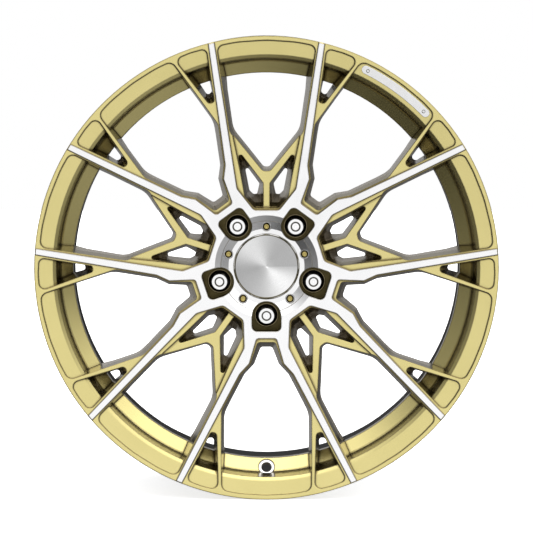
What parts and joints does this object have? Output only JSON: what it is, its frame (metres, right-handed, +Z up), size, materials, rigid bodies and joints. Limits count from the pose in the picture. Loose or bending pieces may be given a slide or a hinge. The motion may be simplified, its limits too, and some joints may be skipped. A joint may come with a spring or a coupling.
{
  "type": "forged racing wheel",
  "caption": "Forged road-racing wheel with split spokes, Y ribs, machined faces, trim ring, centre cap and wheel bolts.",
  "frame": {"origin": "centre of the hub mounting face, on the wheel's axis", "axes": "+Y along the wheel's axis towards the car, so the outboard face looks along -Y; +Z up with the valve hole at the bottom; +X right as seen from outboard"},
  "size_m": [0.522, 0.2405, 0.522],
  "materials": {
    "gold_paint": "satin gold paint",
    "machined_face": "diamond turned",
    "brushed_aluminium": "spun",
    "barrel_paint": "satin dark grey paint",
    "dark_plastic": "matte",
    "badge_metal": "satin",
    "spring_steel": "drawn",
    "gold_screw": "gloss gold plating",
    "dark_steel": "blackened",
    "bolt_steel": "plated, black flats"
  },
  "bodies": {
    "wheel": {"forged_centre": "gold_paint", "barrel": "barrel_paint", "hub_ring": "machined_face", "centring_ring": "dark_plastic", "badge_plate": "badge_metal", "badge_screw_1": "badge_metal", "badge_screw_2": "badge_metal", "hub_ring_screw_1": "gold_screw", "hub_ring_screw_2": "gold_screw", "hub_ring_screw_3": "gold_screw", "hub_ring_screw_4": "gold_screw", "hub_ring_screw_5": "gold_screw", "lug_insert_1": "dark_steel", "lug_insert_2": "dark_steel", "lug_insert_3": "dark_steel", "lug_insert_4": "dark_steel", "lug_insert_5": "dark_steel"},
    "cap": {"cap_shell": "machined_face", "cap_face": "brushed_aluminium", "cap_spring": "spring_steel"},
    "collar_1": {"lug_collar_1": "dark_steel"},
    "bolt_1": {"lug_bolt_1": "bolt_steel"},
    "collar_2": {"lug_collar_2": "dark_steel"},
    "bolt_2": {"lug_bolt_2": "bolt_steel"},
    "collar_3": {"lug_collar_3": "dark_steel"},
    "bolt_3": {"lug_bolt_3": "bolt_steel"},
    "collar_4": {"lug_collar_4": "dark_steel"},
    "bolt_4": {"lug_bolt_4": "bolt_steel"},
    "collar_5": {"lug_collar_5": "dark_steel"},
    "bolt_5": {"lug_bolt_5": "bolt_steel"}
  },
  "joints": [
    {"name": "cap_pull", "type": "slide", "parent": "wheel", "child": "cap", "axis": [0, -1, 0], "range_m": [0, 0.03]},
    {"name": "bolt_1_withdraw", "type": "slide", "parent": "wheel", "child": "collar_1", "axis": [0, -1, 0], "range_m": [0, 0.058]},
    {"name": "bolt_1_turn", "type": "hinge", "parent": "collar_1", "child": "bolt_1", "pos_m": [0.03292, -0.0245, 0.0453], "axis": [0, -1, 0], "continuous": true},
    {"name": "bolt_2_withdraw", "type": "slide", "parent": "wheel", "child": "collar_2", "axis": [0, -1, 0], "range_m": [0, 0.058]},
    {"name": "bolt_2_turn", "type": "hinge", "parent": "collar_2", "child": "bolt_2", "pos_m": [-0.03292, -0.0245, 0.0453], "axis": [0, -1, 0], "continuous": true},
    {"name": "bolt_3_withdraw", "type": "slide", "parent": "wheel", "child": "collar_3", "axis": [0, -1, 0], "range_m": [0, 0.058]},
    {"name": "bolt_3_turn", "type": "hinge", "parent": "collar_3", "child": "bolt_3", "pos_m": [-0.05326, -0.0245, -0.01731], "axis": [0, -1, 0], "continuous": true},
    {"name": "bolt_4_withdraw", "type": "slide", "parent": "wheel", "child": "collar_4", "axis": [0, -1, 0], "range_m": [0, 0.058]},
    {"name": "bolt_4_turn", "type": "hinge", "parent": "collar_4", "child": "bolt_4", "pos_m": [0, -0.0245, -0.056], "axis": [0, -1, 0], "continuous": true},
    {"name": "bolt_5_withdraw", "type": "slide", "parent": "wheel", "child": "collar_5", "axis": [0, -1, 0], "range_m": [0, 0.058]},
    {"name": "bolt_5_turn", "type": "hinge", "parent": "collar_5", "child": "bolt_5", "pos_m": [0.05326, -0.0245, -0.01731], "axis": [0, -1, 0], "continuous": true}
  ]
}
